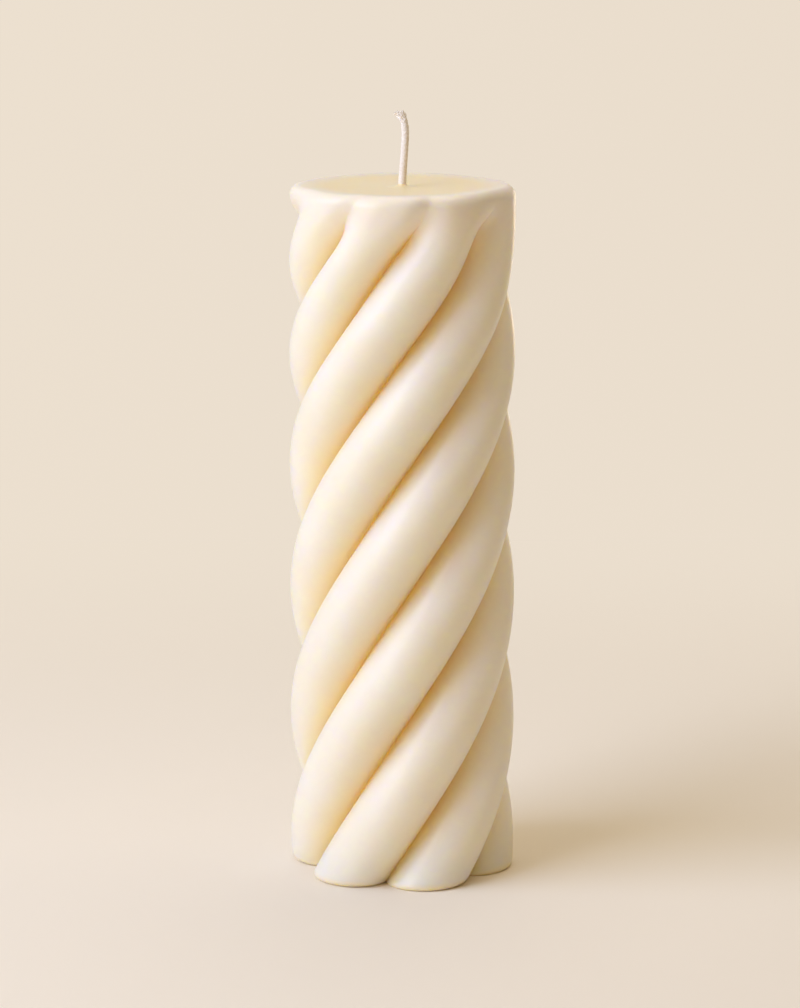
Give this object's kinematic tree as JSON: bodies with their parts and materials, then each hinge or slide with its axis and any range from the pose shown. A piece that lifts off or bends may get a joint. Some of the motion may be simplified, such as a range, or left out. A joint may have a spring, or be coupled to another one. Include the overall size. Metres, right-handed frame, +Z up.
{
  "type": "swirl pillar candle",
  "caption": "Tall moulded wax pillar whose rounded lobes twist round it like rope, with a flat round-edged top, a short curled cotton wick and a crimped wick sustainer in the foot.",
  "frame": {"origin": "middle of the foot, on the surface that the candle stands on", "axes": "+Z up along the pillar and the wick, -Y towards the viewer of the picture, +X to the viewer's right"},
  "size_m": [0.0652, 0.0652, 0.2223],
  "materials": {
    "cast_wax": "satin",
    "top_up_wax": "satin",
    "wick_cotton": "matte",
    "tinplate": "satin"
  },
  "bodies": {
    "root": {"wax_pillar": "cast_wax", "wick": "wick_cotton", "wick_seal": "top_up_wax", "wick_sustainer": "tinplate"}
  },
  "joints": []
}
